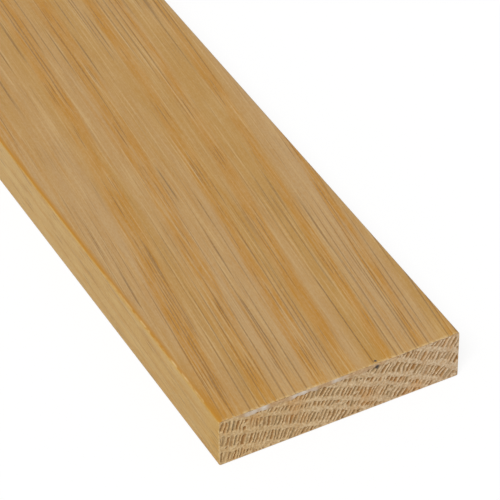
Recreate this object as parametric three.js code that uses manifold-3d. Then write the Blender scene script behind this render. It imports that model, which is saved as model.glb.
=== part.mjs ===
// Flat oak threshold strip.
//
// One square-edged board, planed from solid oak, that is glued down in a doorway to bridge the
// joint between two floor coverings. The ends are cut square with a saw, and its arrises are
// eased: the long ones on the tread side most, because feet and doors pass over them.
//
// Millimetres, +Z up. The length runs along X and the width along Y. The origin is the middle
// of the underside, which is the face that lies on the floor.
import * as THREE from 'three';
import { mergeVertices } from 'three/addons/utils/BufferGeometryUtils.js';
import Module from 'manifold-3d';

const LENGTH = 900;
const WIDTH = 70;
const THICKNESS = 15;

// Radii of the eased arrises. The two tread radii are for the long edges and the sawn ends.
const TREAD_EDGE_RADIUS = 1.0;
const TREAD_END_RADIUS = 0.6;
const UNDERSIDE_RADIUS = 0.4;
const ARC_STEPS = 6;

// How far each extrusion runs past the other one, so that no two of their faces coincide.
const OVERRUN = 5;
// Corners of an extrusion that lie nearer than this are one point.
const WELD_DISTANCE = 1e-5;

const wasm = await Module();
wasm.setup();

// A rectangle standing on the underside, with its upper and lower corners rounded.
function easedOutline(span, upperRadius, lowerRadius) {
  const side = span / 2;
  const outline = new THREE.Shape();
  outline.moveTo(-side + lowerRadius, 0);
  outline.lineTo(side - lowerRadius, 0);
  outline.absarc(side - lowerRadius, lowerRadius, lowerRadius, -Math.PI / 2, 0, false);
  outline.lineTo(side, THICKNESS - upperRadius);
  outline.absarc(side - upperRadius, THICKNESS - upperRadius, upperRadius, 0, Math.PI / 2, false);
  outline.lineTo(-side + upperRadius, THICKNESS);
  outline.absarc(-side + upperRadius, THICKNESS - upperRadius, upperRadius, Math.PI / 2, Math.PI, false);
  outline.lineTo(-side, lowerRadius);
  outline.absarc(-side + lowerRadius, lowerRadius, lowerRadius, Math.PI, Math.PI * 1.5, false);
  return outline;
}

// The outline pushed out along its normal for a depth, centred on the outline's own plane.
// The outline's x and y become the board's Y or X, and its Z.
function prism(outline, depth) {
  const geometry = new THREE.ExtrudeGeometry(outline, {
    depth,
    bevelEnabled: false,
    curveSegments: ARC_STEPS,
  });
  geometry.translate(0, 0, -depth / 2);
  geometry.rotateX(Math.PI / 2);
  return geometry;
}

function toSolid(geometry) {
  const bare = geometry.clone();
  bare.deleteAttribute('normal');
  bare.deleteAttribute('uv');
  const merged = mergeVertices(bare, WELD_DISTANCE);
  return new wasm.Manifold(new wasm.Mesh({
    numProp: 3,
    vertProperties: new Float32Array(merged.attributes.position.array),
    triVerts: new Uint32Array(merged.index.array),
  }));
}

function toGeometry(solid) {
  const { vertProperties, triVerts } = solid.getMesh();
  const geometry = new THREE.BufferGeometry();
  geometry.setAttribute('position', new THREE.BufferAttribute(vertProperties, 3));
  geometry.setIndex(new THREE.BufferAttribute(triVerts, 1));
  geometry.computeVertexNormals();
  return geometry;
}

// The board is what the planed section and the sawn side profile have in common. The section
// is swept along the length, and the profile, which holds the end arrises, across the width.
function oakStrip() {
  const section = prism(easedOutline(WIDTH, TREAD_EDGE_RADIUS, UNDERSIDE_RADIUS), LENGTH + 2 * OVERRUN);
  section.rotateZ(Math.PI / 2);
  const profile = prism(easedOutline(LENGTH, TREAD_END_RADIUS, UNDERSIDE_RADIUS), WIDTH + 2 * OVERRUN);
  const board = toSolid(section).intersect(toSolid(profile));
  const lacqueredOak = new THREE.MeshStandardMaterial({
    color: 0xbb965f,
    roughness: 0.42,
    metalness: 0,
  });
  const mesh = new THREE.Mesh(toGeometry(board), lacqueredOak);
  mesh.name = 'oak_strip';
  return mesh;
}

const group = new THREE.Group();
group.name = 'threshold_strip';
group.add(oakStrip());

export default group;
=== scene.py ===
import math

import bmesh
import bpy
import numpy as np
from mathutils import Matrix, Vector


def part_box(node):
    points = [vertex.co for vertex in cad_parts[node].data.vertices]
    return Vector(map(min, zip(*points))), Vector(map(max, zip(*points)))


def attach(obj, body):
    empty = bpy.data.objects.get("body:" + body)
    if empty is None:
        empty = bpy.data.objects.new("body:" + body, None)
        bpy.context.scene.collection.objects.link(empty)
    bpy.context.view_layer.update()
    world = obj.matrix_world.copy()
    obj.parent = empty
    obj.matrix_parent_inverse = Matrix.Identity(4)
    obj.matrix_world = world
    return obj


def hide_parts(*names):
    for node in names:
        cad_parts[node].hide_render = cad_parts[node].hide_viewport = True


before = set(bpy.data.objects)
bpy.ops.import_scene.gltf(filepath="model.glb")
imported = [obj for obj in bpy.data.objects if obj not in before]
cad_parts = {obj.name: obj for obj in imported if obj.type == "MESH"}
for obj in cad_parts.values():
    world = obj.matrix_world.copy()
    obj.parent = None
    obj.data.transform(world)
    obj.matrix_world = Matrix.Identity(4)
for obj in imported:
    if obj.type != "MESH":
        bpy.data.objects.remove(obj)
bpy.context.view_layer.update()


# ---- The board, as planed and sawn --------------------------------------------------------
# One length of solid oak, planed on four sides and cross-cut with a circular saw. Its long
# arrises are eased with a block plane, the tread side most, and the sawn edges with a
# stroke of abrasive paper.

MM = 0.001
low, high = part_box("oak_strip")
length, width, thickness = high - low
TREAD_ARRIS = 0.7 * MM
UNDERSIDE_ARRIS = 0.4 * MM
SAWN_ARRIS = 0.3 * MM
TREAD_ARRIS_FACETS = 4
OTHER_ARRIS_FACETS = 2

# Cells of the mesh along, across and up the board, and how often those of the ends are cut again.
CELLS_ALONG = 180
CELLS_ACROSS = 58
CELLS_UP = 12
SAWN_CUTS = 5

# An edge runs along an axis, and a face is square to it, if its direction has this share of that
# axis. Two heights or widths are the same if they are no further apart than SAME_PLACE.
SQUARE_ON = 0.99
SAME_PLACE = 0.01 * MM


def pick_edges(mesh, test):
    """In edit mode, selects only the edges that pass a test of their direction, ends and faces."""
    bpy.ops.mesh.select_mode(type="EDGE")
    bpy.ops.mesh.select_all(action="DESELECT")
    edit = bmesh.from_edit_mesh(mesh)
    for edge in edit.edges:
        one, other = edge.verts
        edge.select = test((other.co - one.co).normalized(), one.co, edge.link_faces)
    edit.select_flush_mode()
    bmesh.update_edit_mesh(mesh)


def pick_faces(mesh, test):
    """In edit mode, selects only the faces whose normal passes a test."""
    bpy.ops.mesh.select_mode(type="FACE")
    bpy.ops.mesh.select_all(action="DESELECT")
    edit = bmesh.from_edit_mesh(mesh)
    edit.normal_update()
    for face in edit.faces:
        face.select = test(face.normal)
    edit.select_flush_mode()
    bmesh.update_edit_mesh(mesh)


bpy.ops.object.select_all(action="DESELECT")
bpy.ops.mesh.primitive_cube_add(size=1, location=(low + high) / 2, scale=high - low)
board = bpy.context.object
board.name = "planed_oak_board"
bpy.ops.object.transform_apply(location=True, rotation=True, scale=True)

bpy.ops.object.mode_set(mode="EDIT")
for axis, cells in enumerate((CELLS_ALONG, CELLS_ACROSS, CELLS_UP)):
    pick_edges(board.data, lambda way, start, faces: abs(way[axis]) > SQUARE_ON)
    bpy.ops.mesh.subdivide(number_cuts=cells - 1)

for arris, level, facets in (
    (TREAD_ARRIS, high.z, TREAD_ARRIS_FACETS),
    (UNDERSIDE_ARRIS, low.z, OTHER_ARRIS_FACETS),
):
    pick_edges(
        board.data,
        lambda way, start, faces: abs(way.x) > SQUARE_ON
        and abs(start.z - level) < SAME_PLACE
        and abs(abs(start.y) - width / 2) < SAME_PLACE,
    )
    bpy.ops.mesh.bevel(offset=arris, segments=facets, affect="EDGES")


def outlines_a_saw_cut(way, start, faces):
    """True where a saw cut meets another face of the board, which is all round each end."""
    cut = [abs(face.normal.x) > SQUARE_ON for face in faces]
    return any(cut) and not all(cut)


pick_edges(board.data, outlines_a_saw_cut)
bpy.ops.mesh.bevel(offset=SAWN_ARRIS, segments=OTHER_ARRIS_FACETS, affect="EDGES")
pick_faces(board.data, lambda normal: abs(normal.x) > SQUARE_ON)
bpy.ops.mesh.subdivide(number_cuts=SAWN_CUTS)
bpy.ops.object.mode_set(mode="OBJECT")


# ---- Which surface is which ------------------------------------------------------------------
# The lacquer was rolled on before the strip was cut to length, so it covers the tread, the
# long edges and their arrises. The saw cuts are bare, and so is the face that is glued down.

TREAD, LONG_EDGE, SAWN_END, UNDERSIDE = range(4)
# A facet of an arris goes with the surface that it leans to by more than this share.
STEEP = 0.72
for face in board.data.polygons:
    if abs(face.normal.x) > STEEP:
        face.material_index = SAWN_END
    elif face.normal.z < -STEEP:
        face.material_index = UNDERSIDE
    elif abs(face.normal.y) > STEEP:
        face.material_index = LONG_EDGE
    else:
        face.material_index = TREAD

# Each surface has a strip of the map to itself. The grain runs along the board, so the strips
# of the lacquered faces are five to six times as fine across it as along it, and the sawn ends
# have the finest of all. The two long edges lie one above the other in their strip, and the two
# ends side by side.
MAP_MARGIN = 0.008
STRIPS = {TREAD: (0.01, 0.40), UNDERSIDE: (0.42, 0.54), LONG_EDGE: (0.56, 0.76), SAWN_END: (0.78, 0.99)}
EACH_LONG_EDGE = 0.48
bake_map = board.data.uv_layers.new(name="OFBake")
for face in board.data.polygons:
    bottom, top = STRIPS[face.material_index]
    for corner in face.loop_indices:
        place = board.data.vertices[board.data.loops[corner].vertex_index].co - low
        along, across, up = place.x / length, place.y / width, place.z / thickness
        if face.material_index == SAWN_END and face.normal.x > 0:
            u, v = MAP_MARGIN / 2 + (across / 2 + 0.5) * (1 - MAP_MARGIN), up
        elif face.material_index == SAWN_END:
            u, v = across / 2 * (1 - MAP_MARGIN), up
        elif face.material_index == LONG_EDGE:
            u, v = along, up * EACH_LONG_EDGE + (face.normal.y > 0) * (1 - EACH_LONG_EDGE)
        else:
            u, v = along, across
        bake_map.data[corner].uv = (MAP_MARGIN + u * (1 - 2 * MAP_MARGIN), bottom + v * (top - bottom))


# ---- The growth rings on the sawn ends --------------------------------------------------------
# A ring is a pale, open band of spring wood and a darker, denser band of summer wood, which
# thin pale rays cross. The saw tears the summer wood out between the rays, so rays and spring
# wood stand proud by up to four tenths of a millimetre. Sizes here are in millimetres.

# The pith lies below the board and to one side. Each spring band has its radius from there.
PITH_Y, PITH_Z = -76.0, -178.0
SPRING_WOOD = (183.0, 187.5, 192.4, 197.1, 200.3, 204.9, 207.8, 212.4, 216.9, 221.6)
LAST_RING = 4.6
MEAN_RADIUS = 200.0
BAND_HALF = 0.66

# The rays of each ring are set out round the pith, from short of the board to well past it. They
# and the beds of the troughs have their heights as shares of the depth of the tears.
RAYS = 260
FIRST_RAY = -60.0
RAY_PITCH = (0.9, 1.5)
RAY_HALF = (0.17, 0.28)
RAY_LEAN = (-0.08, 0.08)
RAY_CREST = (0.70, 1.0)
HIGHEST_BED = 0.45
BED_SLOPE = 0.3
TEAR_DEPTH = 0.42
CHIP_DEPTH = 0.30

# The trunk's slow bends, sideways and upwards: how far, and the length that sets how slowly.
DRIFT, DRIFT_LENGTH = 14.0, 165.0
RISE, RISE_LENGTH = 5.0, 230.0

# One fixed table of draws makes all the blotches. The offset keeps every place in it above zero.
SEED = 20
TABLE = 64
TABLE_OFFSET = 500.0
draw = np.random.default_rng(SEED)
blotches = draw.random((TABLE, TABLE))


def smooth(start, stop, value):
    """A soft step that goes from 0 to 1 as the value goes from start to stop."""
    step = np.clip((value - start) / (stop - start), 0, 1)
    return step * step * (3 - 2 * step)


def patchy(across, up, size):
    """Soft blotches from 0 to 1, each about as wide as size."""
    u, v = across / size + TABLE_OFFSET, up / size + TABLE_OFFSET
    column, row = np.floor(u).astype(int), np.floor(v).astype(int)
    s, t = smooth(0, 1, u - column), smooth(0, 1, v - row)
    corner = [blotches[(column + i) % TABLE, (row + j) % TABLE] for i in (0, 1) for j in (0, 1)]
    return (corner[0] * (1 - s) + corner[2] * s) * (1 - t) + (corner[1] * (1 - s) + corner[3] * s) * t


def growth(x, y, z):
    """How far a place is from the pith, and how far round it, as an arc at the mean radius."""
    from_end = length / 2 / MM - x
    across = y - PITH_Y - DRIFT * np.sin(from_end / DRIFT_LENGTH)
    up = z - PITH_Z - RISE * np.sin(from_end / RISE_LENGTH)
    return np.hypot(across, up), np.arctan2(across, up) * MEAN_RADIUS


def torn_summer_wood(round_it):
    """One ring's rays, and the troughs torn out between them, as height and a tint for each trough."""
    rays = np.cumsum(draw.uniform(*RAY_PITCH, RAYS)) + FIRST_RAY
    half = draw.uniform(*RAY_HALF, RAYS)
    crest = draw.uniform(*RAY_CREST, RAYS)
    bed = HIGHEST_BED * draw.random(RAYS) ** 2
    colour = draw.random(RAYS)
    nearest = np.clip(np.searchsorted(rays, round_it), 1, RAYS - 1)
    height = bed[nearest]
    for ray in (nearest - 1, nearest):
        apart = np.abs(round_it - rays[ray])
        height = np.maximum(height, crest[ray] * (1 - smooth(half[ray] * 0.5, half[ray] * 1.9, apart)))
    # The saw's teeth went one way, so each trough is deeper at its far side. The ends' colour follows
    # this height, so the far side is also painted darker: painted shade, as if lit from the other side.
    across_trough = (round_it - rays[nearest - 1]) / (rays[nearest] - rays[nearest - 1])
    return height + BED_SLOPE * (0.4 - across_trough) * (height < 0.6), colour[nearest]


def sawn_surface(x, y, z):
    """The torn surface of a sawn end: its height from 0 to 1, and a tint from 0 to 1 for each trough."""
    radius, round_it = growth(x, y, z)
    # Neither rings nor rays run true: each wanders by up to half a millimetre.
    radius = radius + 1.1 * (patchy(y, z, 6.0) - 0.5) + 0.7 * (patchy(y + 90, z, 1.5) - 0.5)
    round_it = round_it + 0.7 * (patchy(y, z + 70, 2.6) - 0.5) + 0.2 * (patchy(y + 40, z, 0.7) - 0.5)
    # Nor do the rays point quite at the pith: they lean one way near one edge, and the other elsewhere.
    lean = RAY_LEAN[0] + (RAY_LEAN[1] - RAY_LEAN[0]) * smooth(-33, -12, y)
    round_it = round_it - lean * (radius - MEAN_RADIUS)
    height = np.zeros_like(y)
    tint = np.zeros_like(y)
    for spring, following in zip(SPRING_WOOD, SPRING_WOOD[1:] + (SPRING_WOOD[-1] + LAST_RING,)):
        here = (radius >= spring) & (radius < following)
        height[here], tint[here] = torn_summer_wood(round_it[here])
    # A few patches of summer wood held, and spring wood stands proud in ragged, crumbly bands.
    height = np.maximum(height, 0.7 * smooth(0.80, 0.92, patchy(y + 11, z + 47, 1.7)))
    for spring in SPRING_WOOD:
        ragged = BAND_HALF * (0.4 + 1.2 * patchy(y + 30, z + 30, 0.9))
        band = 1 - smooth(ragged, ragged + 0.4, np.abs(radius - spring))
        height = np.maximum(height, band * (0.5 + 0.5 * patchy(y, z, 0.55)))
    fuzz = 0.26 * (patchy(y * 0.8 + z * 0.6, z * 0.8 - y * 0.6, 0.45) - 0.5)
    return np.clip(height + fuzz, 0, 1), tint


places = np.empty(len(board.data.vertices) * 3)
board.data.vertices.foreach_get("co", places)
places = places.reshape(-1, 3)
x, y, z = (places / MM).T
sawn = np.abs(np.abs(x) - length / 2 / MM) < 0.001
height = np.ones(len(x))
tint = np.zeros(len(x))
for side in (1, -1):
    end = sawn & (x * side > 0)
    height[end], tint[end] = sawn_surface(x[end], y[end], z[end])

# The last millimetre under the tread was rubbed smooth as the strip was handled, and filler
# dust sits in it: tan for the most part, and whitish in three stretches. It is narrow all along,
# and wider over a middle stretch. The far end was left as it was sawn.
NARROW_SMEAR, WIDER_BY = 0.25, 0.80
WIDE_STRETCH = (-29.0, 12.5)
WHITE_STRETCHES = ((-27.5, -21.0), (-14.5, -7.0), (-2.5, 1.5))


def stretch(start, stop, fade):
    """1 between two places across the board, and 0 outside them, fading out over each."""
    return smooth(start - fade, start + fade, y) * (1 - smooth(stop - fade, stop + fade, y))


widened = stretch(*WIDE_STRETCH, 2)
ragged_edge = 0.5 * (0.4 + widened) * patchy(y, np.full_like(z, 5), 1.8)
smear_edge = thickness / MM - NARROW_SMEAR - WIDER_BY * widened - ragged_edge
smear = sawn * smooth(smear_edge - 0.25, smear_edge + 0.15, z) * (x > 0)
whitish = np.zeros(len(x))
for start, stop in WHITE_STRETCHES:
    whitish = np.maximum(whitish, stretch(start, stop, 1))
whitish *= 0.35 + 0.65 * patchy(y + 8, z, 1.3)
height = height + smear * (0.9 + 0.1 * patchy(y, z, 0.6) - height)

# The tears stop short of the arris, and the arris has a few small chips of its own.
to_edge = np.minimum(np.minimum(z, thickness / MM - z), width / 2 / MM - np.abs(y))
depth = TEAR_DEPTH * (1 - height) * smooth(SAWN_ARRIS / MM, SAWN_ARRIS / MM + 0.15, to_edge)
on_arris = 1 - smooth(SAWN_ARRIS / MM, SAWN_ARRIS / MM + 0.3, to_edge)
depth += CHIP_DEPTH * on_arris * smooth(0.45, 0.85, patchy(y + 17, z + 23, 1.3))
places[:, 0] -= np.sign(x) * depth * MM * sawn
board.data.vertices.foreach_set("co", places.ravel())

# The material of the sawn ends takes its colours from the same four figures.
sawn_grain = board.data.attributes.new("sawn_grain", "FLOAT_COLOR", "POINT")
sawn_grain.data.foreach_set("color", np.stack([height, tint, smear, whitish], 1).ravel())
board.data.update()
bpy.ops.object.shade_smooth_by_angle(angle=math.radians(40))


# ---- Lacquered and bare faces along the grain -------------------------------------------------
# The tread and the long edges carry a rolled coat of clear satin lacquer, and the underside is
# bare for the adhesive. All show flat-sawn oak, with its pores and bands running lengthways.


def linear(hex_colour):
    """An sRGB hex colour as the linear RGBA that a shader socket takes."""
    parts = [int(hex_colour[i : i + 2], 16) / 255 for i in (1, 3, 5)]
    return tuple(p / 12.92 if p <= 0.04045 else ((p + 0.055) / 1.055) ** 2.4 for p in parts) + (1,)


def add(tree, kind, inputs=(), stops=(), **settings):
    """Adds a node and returns its outputs. Inputs pair a socket's name or number with the socket
    that feeds it, a number, a vector or a hex colour, and stops are those of a colour ramp."""
    node = tree.nodes.new("ShaderNode" + kind)
    for name, value in settings.items():
        setattr(node, name, value)
    for name, value in dict(inputs).items():
        if isinstance(value, bpy.types.NodeSocket):
            tree.links.new(value, node.inputs[name])
        else:
            node.inputs[name].default_value = linear(value) if isinstance(value, str) else value
    for index, (position, colour) in enumerate(stops):
        ramp = node.color_ramp.elements
        stop = ramp[index] if index < 2 else ramp.new(position)
        stop.position = position
        stop.color = linear(colour) if isinstance(colour, str) else (colour, colour, colour, 1)
    return node.outputs


def new_material(name):
    """An empty node material, and the tree to build it in."""
    material = bpy.data.materials.new(name)
    material.use_nodes = True
    material.node_tree.nodes.clear()
    return material, material.node_tree


def grain_place(tree):
    """The place in the trunk, in metres, straightened so that the grain runs along X."""
    place = add(tree, "SeparateXYZ", {0: add(tree, "TexCoord")["Object"]})
    from_end = add(tree, "Math", {0: length / 2, 1: place["X"]}, operation="SUBTRACT")[0]
    bent = {"X": place["X"]}
    for axis, sweep, run in (("Y", DRIFT, DRIFT_LENGTH), ("Z", RISE, RISE_LENGTH)):
        turn = add(tree, "Math", {0: from_end, 1: run * MM}, operation="DIVIDE")[0]
        swing = add(tree, "Math", {0: turn}, operation="SINE")[0]
        shift = {0: swing, 1: -sweep * MM, 2: place[axis]}
        bent[axis] = add(tree, "Math", shift, operation="MULTIPLY_ADD")[0]
    return add(tree, "CombineXYZ", bent)[0]


def streaks(tree, place, along, across):
    """Noise from 0 to 1, in blotches along millimetres long with the grain and across wide."""
    scale = (1 / (along * MM), 1 / (across * MM), 1 / (across * MM))
    vector = add(tree, "VectorMath", {0: place, 1: scale}, operation="MULTIPLY")[0]
    return add(tree, "TexNoise", {"Vector": vector, "Scale": 1, "Detail": 3})[0]


def streaked(tree, place, base, tone, along, across, start, stop, share):
    """Base with tone laid on it in streaks, up to a share, where the noise goes from start to stop."""
    noise = streaks(tree, place, along, across)
    cover = add(tree, "MapRange", {0: noise, 1: start, 2: stop, 3: 0, 4: share})[0]
    return add(tree, "Mix", {0: cover, 6: base, 7: tone}, data_type="RGBA")[2]


# In millimetres of radius: how far a band fades out towards the pith and towards the bark, how
# much further from the pith its honey colour sits than its torn surface on the ends, the radii
# that take in all the bands, and how much a band wanders sideways along the board.
BAND_REACH = (-0.8, 0.9)
BAND_SHIFT = 0.45
RING_SPAN = (180.0, 226.0)
RING_WOBBLE = 1.6


def spring_bands(tree, place):
    """1 in the middle of each band of spring wood, and 0 in the summer wood between."""
    axis = (0, -PITH_Y * MM, -PITH_Z * MM)
    from_pith = add(tree, "VectorMath", {0: place, 1: axis}, operation="ADD")[0]
    flat = add(tree, "VectorMath", {0: from_pith, 1: (0, 1, 1)}, operation="MULTIPLY")[0]
    radius = add(tree, "VectorMath", {0: flat}, operation="LENGTH")["Value"]
    wobble = {0: streaks(tree, place, 120, 9), 1: RING_WOBBLE * MM, 2: radius}
    radius = add(tree, "Math", wobble, operation="MULTIPLY_ADD")[0]
    start, stop = (edge + BAND_SHIFT + RING_WOBBLE / 2 for edge in RING_SPAN)
    share = add(tree, "MapRange", {0: radius, 1: start * MM, 2: stop * MM})[0]
    stops = []
    for spring in SPRING_WOOD:
        for offset, level in ((BAND_REACH[0], 0.0), (0.0, 1.0), (BAND_REACH[1], 0.0)):
            at = (spring + offset - RING_SPAN[0]) / (RING_SPAN[1] - RING_SPAN[0])
            stops.append((at, level))
    return add(tree, "ValToRGB", {"Fac": share}, stops)[0]


def open_pores(tree, place, along, across, reach, dark):
    """Dashes from 0 to dark. There is one in most cells of along by across millimetres, and the
    widest of them reaches the given share of a cell to each side of its middle."""
    parts = add(tree, "SeparateXYZ", {0: place})
    aside = add(tree, "Math", {0: parts["Y"], 1: parts["Z"]}, operation="ADD")[0]
    spread = add(tree, "CombineXYZ", {"X": parts["X"], "Y": aside})[0]
    scale = (1 / (along * MM), 1 / (across * MM), 0)
    vector = add(tree, "VectorMath", {0: spread, 1: scale}, operation="MULTIPLY")[0]
    cell = add(tree, "TexVoronoi", {"Vector": vector, "Scale": 1}, voronoi_dimensions="2D")
    chance = add(tree, "SeparateXYZ", {0: cell["Color"]})[0]
    limit = add(tree, "MapRange", {0: chance, 1: 0.15, 2: 0.9, 3: 0, 4: reach})[0]
    inside = add(tree, "Math", {0: limit, 1: cell["Distance"]}, operation="SUBTRACT")[0]
    return add(tree, "MapRange", {0: inside, 1: 0, 2: 0.08, 3: 0, 4: dark})[0]


def long_pore(tree, place, start, stop, across, dark):
    """One pore that can be followed for centimetres: from start to stop, in millimetres from the end."""
    middle = (length / 2 - (start + stop) / 2 * MM, across * MM, 0)
    offset = add(tree, "VectorMath", {0: place, 1: middle}, operation="SUBTRACT")[0]
    apart = add(tree, "SeparateXYZ", {0: add(tree, "VectorMath", {0: offset}, operation="ABSOLUTE")[0]})
    half = (stop - start) / 2 * MM
    narrow = add(tree, "MapRange", {0: apart["Y"], 1: 0.08 * MM, 2: 0.26 * MM, 3: dark, 4: 0})[0]
    return add(tree, "MapRange", {0: apart["X"], 1: half - 5 * MM, 2: half, 3: narrow, 4: 0})[0]


IRON_STAIN = "#2c2a2c"


def stained(tree, base, centre, radius):
    """Base with a round blue-black spot on it, where iron has met the tannin in the oak."""
    place = add(tree, "TexCoord")["Object"]
    apart = add(tree, "VectorMath", {0: place, 1: centre}, operation="DISTANCE")["Value"]
    cover = add(tree, "MapRange", {0: apart, 1: radius * 0.55, 2: radius * 1.15, 3: 0.92, 4: 0})[0]
    return add(tree, "Mix", {0: cover, 6: base, 7: IRON_STAIN}, data_type="RGBA")[2]


def lined_arris(tree, base, place, tones):
    """Base with the -Y arris on it, which cuts a band of spring wood along its length and is
    honey-coloured there. Its crown is painted pale over the last few centimetres before the +X end:
    partly worn wood, and partly a painted highlight along the rounded arris."""
    spot = add(tree, "SeparateXYZ", {0: add(tree, "TexCoord")["Object"]})
    strong = {0: streaks(tree, place, 70, 9), 1: 0.34, 2: 0.56, 3: 0.25, 4: 0.95}
    strong = add(tree, "MapRange", strong)[0]
    band = {0: spot["Y"], 1: low.y + 0.6 * MM, 2: low.y + 1.7 * MM, 3: strong, 4: 0}
    band = add(tree, "MapRange", band)[0]
    base = add(tree, "Mix", {0: band, 6: base, 7: tones["honey"]}, data_type="RGBA")[2]
    # Near the +X end the crown is painted pale: worn wood, and a painted highlight along the rounded
    # arris.
    wear_and_highlight_noise = add(tree, "MapRange", {0: streaks(tree, place, 5, 3), 1: 0.44, 2: 0.58, 3: 0, 4: 0.8})[0]
    wear_and_highlight_near_end = {0: spot["X"], 1: high.x - 80 * MM, 2: high.x - 30 * MM, 3: 0, 4: wear_and_highlight_noise}
    wear_and_highlight_near_end = add(tree, "MapRange", wear_and_highlight_near_end)[0]
    pale_crown_wear_and_highlight = {0: spot["Y"], 1: low.y + 0.35 * MM, 2: low.y + 0.65 * MM, 3: wear_and_highlight_near_end, 4: 0}
    pale_crown_wear_and_highlight = add(tree, "MapRange", pale_crown_wear_and_highlight)[0]
    return add(tree, "Mix", {0: pale_crown_wear_and_highlight, 6: base, 7: tones["pale_edge"]}, data_type="RGBA")[2]


# The IOR of the lacquer, which is near enough that of planed oak too.
LACQUER_IOR = 1.5
PORE_SWAY = 0.3 * MM
SWAY_SCALE = (1 / (50 * MM), 1 / (6.25 * MM), 1 / (6.25 * MM))


def oak_along_the_grain(
    name, tones, contrast, roughness, shine, flecks=0.0, lined=False, marks=(), spots=()
):
    """Flat-sawn oak on a face that follows the grain. Contrast is the share at which bands and pores
    show, shine is the specular level, flecks is how dark the shortest pores are, lined adds the
    honey-coloured arris with its pale crown, which is partly wear and partly a painted highlight, marks
    are pores placed one by one, and spots are iron stains."""
    material, tree = new_material(name)
    place = grain_place(tree)

    # The ground goes from tan to a greyer beige over centimetres, and all else is laid on that.
    ground = [(0.36, tones["warm"]), (0.5, tones["mid"]), (0.64, tones["grey"])]
    base = add(tree, "ValToRGB", {"Fac": streaks(tree, place, 240, 8)}, ground)[0]

    # Spring wood is honey-coloured, in crumbly bundles of lines that come and go, and a few such
    # lines stray outside the bands.
    spring = spring_bands(tree, place)
    honey = add(tree, "Math", {0: spring, 1: 3.0}, operation="MULTIPLY", use_clamp=True)[0]
    for along, across, start, stop, least in (
        (80, 0.6, 0.40, 0.52, 0.30),
        (60, 12, 0.32, 0.46, 0.60),
        (6, 0.8, 0.36, 0.50, 0.65),
    ):
        noise = {0: streaks(tree, place, along, across), 1: start, 2: stop, 3: least, 4: 1}
        kept = add(tree, "MapRange", noise)[0]
        honey = add(tree, "Math", {0: honey, 1: kept}, operation="MULTIPLY")[0]
    stray = {0: streaks(tree, place, 120, 2), 1: 0.56, 2: 0.74, 3: 0, 4: 0.7}
    stray = add(tree, "MapRange", stray)[0]
    honey = add(tree, "Math", {0: honey, 1: stray}, operation="MAXIMUM")[0]
    honey = add(tree, "Math", {0: honey, 1: contrast}, operation="MULTIPLY")[0]
    base = add(tree, "Mix", {0: honey, 6: base, 7: tones["honey"]}, data_type="RGBA")[2]

    # Pale clouds a centimetre or two long, and pale threads half a millimetre wide.
    base = streaked(tree, place, base, tones["thread"], 18, 3.5, 0.50, 0.68, 0.22)
    base = streaked(tree, place, base, tones["thread"], 90, 0.7, 0.54, 0.70, 0.7 * contrast)

    # Pores: grey-brown lines up to half a millimetre wide and fifteen centimetres long. The spring
    # wood holds the most of the finest. They sway by up to a third of a millimetre over 5 cm.
    waver = add(tree, "VectorMath", {0: place, 1: SWAY_SCALE}, operation="MULTIPLY")[0]
    waver = add(tree, "TexNoise", {"Vector": waver, "Scale": 1, "Detail": 2})["Color"]
    sway = {0: waver, 1: (0, PORE_SWAY, PORE_SWAY), 2: place}
    swayed = add(tree, "VectorMath", sway, operation="MULTIPLY_ADD")[0]
    fine = open_pores(tree, swayed, 26, 0.6, 0.28, 0.70)
    mostly_spring = add(tree, "MapRange", {0: spring, 3: 0.3, 4: 1})[0]
    pore = add(tree, "Math", {0: fine, 1: mostly_spring}, operation="MULTIPLY")[0]
    others = [
        open_pores(tree, swayed, 150, 0.9, 0.26, 0.55),
        open_pores(tree, swayed, 100, 1.9, 0.15, 0.65),
        open_pores(tree, place, 18, 1.4, 0.17, flecks),
    ]
    others += [long_pore(tree, swayed, *mark) for mark in marks]
    for other in others:
        pore = add(tree, "Math", {0: pore, 1: other}, operation="MAXIMUM")[0]
    cover = add(tree, "Math", {0: pore, 1: contrast}, operation="MULTIPLY")[0]
    base = add(tree, "Mix", {0: cover, 6: base, 7: tones["pore"]}, data_type="RGBA")[2]

    # Fibres give the ground its fine tooth. They are really a fiftieth of a millimetre across, too
    # fine to show, so they are drawn in bundles of four tenths. The last of them stand up, pale,
    # where the saw came through the face.
    for along, across, share in ((14, 0.42, 0.22), (1.0, 0.36, 0.32)):
        base = streaked(tree, place, base, tones["thread"], along, across, 0.5, 0.75, share)
        base = streaked(tree, place, base, tones["honey"], along, across, 0.5, 0.25, share)
    pale_edge = add(tree, "MapRange", {0: streaks(tree, place, 1.5, 1.0), 1: 0.42, 2: 0.60})[0]
    last = {0: add(tree, "SeparateXYZ", {0: place})["X"], 1: high.x - 0.8 * MM, 2: high.x}
    last = add(tree, "MapRange", last | {3: 0, 4: pale_edge})[0]
    base = add(tree, "Mix", {0: last, 6: base, 7: tones["pale_edge"]}, data_type="RGBA")[2]
    if lined:
        base = lined_arris(tree, base, place, tones)
    for centre, radius in spots:
        base = stained(tree, base, centre, radius)

    # The surface follows the fibres and sinks into the pores.
    raised = add(tree, "Math", {0: streaks(tree, place, 30, 0.4), 1: 0.3}, operation="MULTIPLY")[0]
    relief = add(tree, "Math", {0: raised, 1: pore}, operation="SUBTRACT")[0]
    bump = add(tree, "Bump", {"Height": relief, "Distance": 0.05 * MM, "Strength": 0.6})[0]
    finish = {"Base Color": base, "Roughness": roughness, "Specular IOR Level": shine, "IOR": LACQUER_IOR}
    surface = add(tree, "BsdfPrincipled", finish | {"Normal": bump})[0]
    add(tree, "OutputMaterial", {"Surface": surface})
    return material


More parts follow.
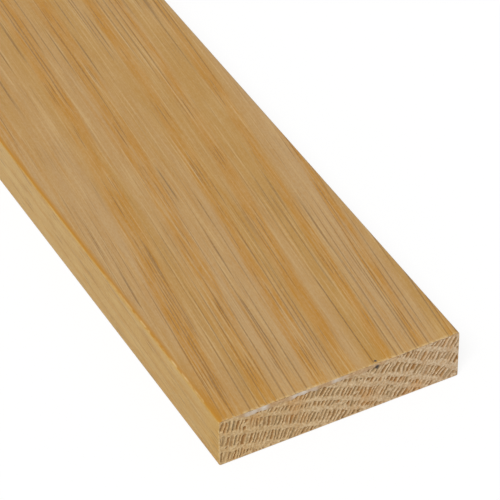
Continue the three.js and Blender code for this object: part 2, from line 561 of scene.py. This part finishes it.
# Each long pore: where it starts and stops, in millimetres from the +X end, its place across the
# tread, and how dark it is.
LONG_PORES = (
    (-3, 39, 9.9, 0.75),
    (13, 41, -11.1, 0.75),
    (7, 17, -13.2, 0.6),
    (29, 74, 13.1, 0.5),
    (80, 99, -10.2, 0.8),
)
STAIN_ON_END = (Vector((high.x, 10.55 * MM, 13.7 * MM)), 0.8 * MM)
STAIN_ON_TREAD = (Vector((high.x - 1.0 * MM, 10.5 * MM, high.z)), 0.45 * MM)

# Satin-lacquered oak: a golden tan with honey bands and grey-brown pores, and a soft sheen.
tread_tones = {
    "warm": "#ad823b",
    "mid": "#b0884e",
    "grey": "#b38f5d",
    "honey": "#ae7604",
    "thread": "#c3a16b",
    "pore": "#66461c",
    "pale_edge": "#cfb27c",
}
tread = oak_along_the_grain(
    "satin_lacquered_oak_tread",
    tread_tones,
    contrast=0.95,
    roughness=0.40,
    shine=0.5,
    lined=True,
    marks=LONG_PORES,
    spots=(STAIN_ON_TREAD,),
)

# The long edges cut the rings more nearly square, so they are paler and yellower, and the pores
# show as short dark flecks. The coat is thinner there, and duller.
edge_tones = {
    "warm": "#b58d45",
    "mid": "#b8924f",
    "grey": "#ba9656",
    "honey": "#b0802f",
    "thread": "#c8a96a",
    "pore": "#70512c",
    "pale_edge": "#cfb27c",
}
edge = oak_along_the_grain(
    "satin_lacquered_oak_edge", edge_tones, contrast=0.6, roughness=0.45, shine=0.2, flecks=0.9
)

# Bare planed oak: drier, paler and more pink, with next to no sheen.
bare_tones = {
    "warm": "#bd9c6e",
    "mid": "#c0a178",
    "grey": "#bfa37f",
    "honey": "#ad8455",
    "thread": "#cdb48d",
    "pore": "#7a5d40",
    "pale_edge": "#cdb48d",
}
underside = oak_along_the_grain(
    "bare_planed_oak_underside", bare_tones, contrast=0.6, roughness=0.75, shine=0.3
)


# ---- The sawn faces ---------------------------------------------------------------------------
# Nothing covers the end grain. Its colour follows the torn surface: rays and spring wood are pale straw,
# pinker towards one side, and the troughs between them are brown and matt. The deeper a place lies, the
# darker it is painted: partly the browner summer wood, and partly painted shade in the troughs.


def sawn_end_grain():
    """Bare end grain, coloured by the height, tint, smear and whitish dust that the mesh carries."""
    material, tree = new_material("bare_sawn_oak_end_grain")
    carried = add(tree, "Attribute", attribute_name="sawn_grain")
    height, tint, smear = add(tree, "SeparateColor", {0: carried["Color"]})
    place = add(tree, "TexCoord")["Object"]
    side = add(tree, "MapRange", {0: add(tree, "SeparateXYZ", {0: place})["Y"], 1: low.y, 2: high.y})[0]
    noise = add(tree, "TexNoise", {"Vector": place, "Scale": 1 / (0.7 * MM), "Detail": 2})[0]
    grain = add(tree, "MapRange", {0: noise, 1: 0.3, 2: 0.7})[0]
    bed = add(tree, "Mix", {0: tint, 6: "#92652f", 7: "#91764f"}, data_type="RGBA")[2]
    dull = add(tree, "Mix", {0: side, 6: "#b28f5c", 7: "#b0916c"}, data_type="RGBA")[2]
    pale = add(tree, "Mix", {0: side, 6: "#cfb488", 7: "#d1bc9e"}, data_type="RGBA")[2]
    crest = add(tree, "Mix", {0: grain, 6: dull, 7: pale}, data_type="RGBA")[2]
    # Lower places are painted browner: the summer wood's own colour, and painted shade deep in the
    # troughs.
    proud = add(tree, "MapRange", {0: height, 1: 0.05, 2: 0.75})[0]
    base = add(tree, "Mix", {0: proud, 6: bed, 7: crest}, data_type="RGBA")[2]

    # Rusty patches about a centimetre across.
    noise = add(tree, "TexNoise", {"Vector": place, "Scale": 1 / (9 * MM), "Detail": 3})[0]
    rusty = add(tree, "MapRange", {0: noise, 1: 0.52, 2: 0.68, 3: 0, 4: 0.45})[0]
    base = add(tree, "Mix", {0: rusty, 6: base, 7: "#b5813f"}, data_type="RGBA")[2]

    # The rubbed strip under the tread, tan and in places whitish with filler dust.
    tan = add(tree, "Mix", {0: grain, 6: "#a58159", 7: "#bd9d76"}, data_type="RGBA")[2]
    dusty = add(tree, "Mix", {0: carried["Alpha"], 6: tan, 7: "#c9c0b4"}, data_type="RGBA")[2]
    cover = add(tree, "Math", {0: smear, 1: 0.9}, operation="MULTIPLY")[0]
    base = add(tree, "Mix", {0: cover, 6: base, 7: dusty}, data_type="RGBA")[2]
    base = stained(tree, base, *STAIN_ON_END)

    # Broken fibre ends keep the whole of it matt. They are drawn a quarter of a millimetre across,
    # about ten times the size of the real ones, which wouldn't show.
    grit = add(tree, "TexNoise", {"Vector": place, "Scale": 1 / (0.25 * MM), "Detail": 3})[0]
    bump = add(tree, "Bump", {"Height": grit, "Distance": 0.1 * MM, "Strength": 0.7})[0]
    finish = {"Base Color": base, "Roughness": 0.85, "IOR": 1.45, "Normal": bump}
    surface = add(tree, "BsdfPrincipled", finish)[0]
    add(tree, "OutputMaterial", {"Surface": surface})
    return material


by_surface = {TREAD: tread, LONG_EDGE: edge, SAWN_END: sawn_end_grain(), UNDERSIDE: underside}
for surface in sorted(by_surface):
    board.data.materials.append(by_surface[surface])

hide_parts("oak_strip")
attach(board, "root")


# ---- Studio ---------------------------------------------------------------------------------
# A sheet of white paper far wider than the strip, an even pale sky, and one broad soft lamp
# high over the sawn end.

FLOOR_SIZE = 60.0
# The paper lies just clear of the underside, so that the two faces don't coincide.
FLOOR_GAP = 0.2 * MM
PAPER_GLOW = 1.025
GLOW_SHARE = 0.85
SKY = 0.45
KEY_ENERGY = 2.2
KEY_SPREAD = math.radians(22)
KEY_FROM = (0.42, -0.47, 0.78)

bpy.ops.object.select_all(action="DESELECT")
bpy.ops.mesh.primitive_plane_add(size=FLOOR_SIZE, location=(0, 0, low.z - FLOOR_GAP))
floor = bpy.context.object
floor.name = "studio_floor"


def background_rays(tree):
    """1 on rays that show the background: from the camera, in a reflection or through glass."""
    path = add(tree, "LightPath")
    direct = {0: path["Is Camera Ray"], 1: path["Is Glossy Ray"]}
    direct = add(tree, "Math", direct, operation="MAXIMUM")[0]
    return add(tree, "Math", {0: direct, 1: path["Is Transmission Ray"]}, operation="MAXIMUM")[0]


# White paper, which glows just enough to show as white and still takes a shadow.
paper, tree = new_material("white_paper_floor")
lit = add(tree, "BsdfDiffuse", {"Color": "#f2f2f2"})[0]
glow = add(tree, "Emission", {"Color": "#ffffff", "Strength": PAPER_GLOW})[0]
glowing = add(tree, "Math", {0: background_rays(tree), 1: GLOW_SHARE}, operation="MULTIPLY")[0]
surface = add(tree, "MixShader", {0: glowing, 1: lit, 2: glow})[0]
add(tree, "OutputMaterial", {"Surface": surface})
floor.data.materials.append(paper)

# The sky is white to look at, and lights the strip with less than half of that.
sky = bpy.data.worlds.new("soft_studio")
bpy.context.scene.world = sky
sky.use_nodes = True
tree = sky.node_tree
tree.nodes.clear()
strength = add(tree, "MapRange", {0: background_rays(tree), 3: SKY, 4: 1})[0]
backdrop = add(tree, "Background", {"Color": "#ffffff", "Strength": strength})[0]
add(tree, "OutputWorld", {"Surface": backdrop})

# The lamp shines evenly over the whole paper, so that no edge of its light shows.
lamp = bpy.data.lights.new("key_softbox", "SUN")
lamp.energy = KEY_ENERGY
lamp.angle = KEY_SPREAD
key = bpy.data.objects.new("key_softbox", lamp)
bpy.context.collection.objects.link(key)
key.rotation_euler = Vector(KEY_FROM).to_track_quat("Z", "Y").to_euler()


# ---- Camera ----------------------------------------------------------------------------------
# A long lens, a little under a metre away. It looks down at the +X end and along the tread, and
# the rest of the strip runs out of its view.

LENS, SENSOR = 239.9, 36
NEAREST, FURTHEST = 0.01, 100
AZIMUTH, ELEVATION, ROLL = (math.radians(angle) for angle in (61.65, 40.54, 0.26))
AIM = Vector((high.x - 54.3 * MM, 3.3 * MM, high.z))
DISTANCE = 878 * MM
eye = bpy.data.cameras.new("long_lens")
eye.lens = LENS
eye.sensor_width = SENSOR
eye.clip_start, eye.clip_end = NEAREST, FURTHEST
camera = bpy.data.objects.new("camera", eye)
bpy.context.collection.objects.link(camera)
back = Vector((
    math.sin(AZIMUTH) * math.cos(ELEVATION),
    -math.cos(AZIMUTH) * math.cos(ELEVATION),
    math.sin(ELEVATION),
))
camera.matrix_world = (
    Matrix.Translation(AIM + back * DISTANCE)
    @ (-back).to_track_quat("-Z", "Y").to_matrix().to_4x4()
    @ Matrix.Rotation(-ROLL, 4, "Z")
)
bpy.context.scene.camera = camera
bpy.context.scene.view_settings.view_transform = "Standard"
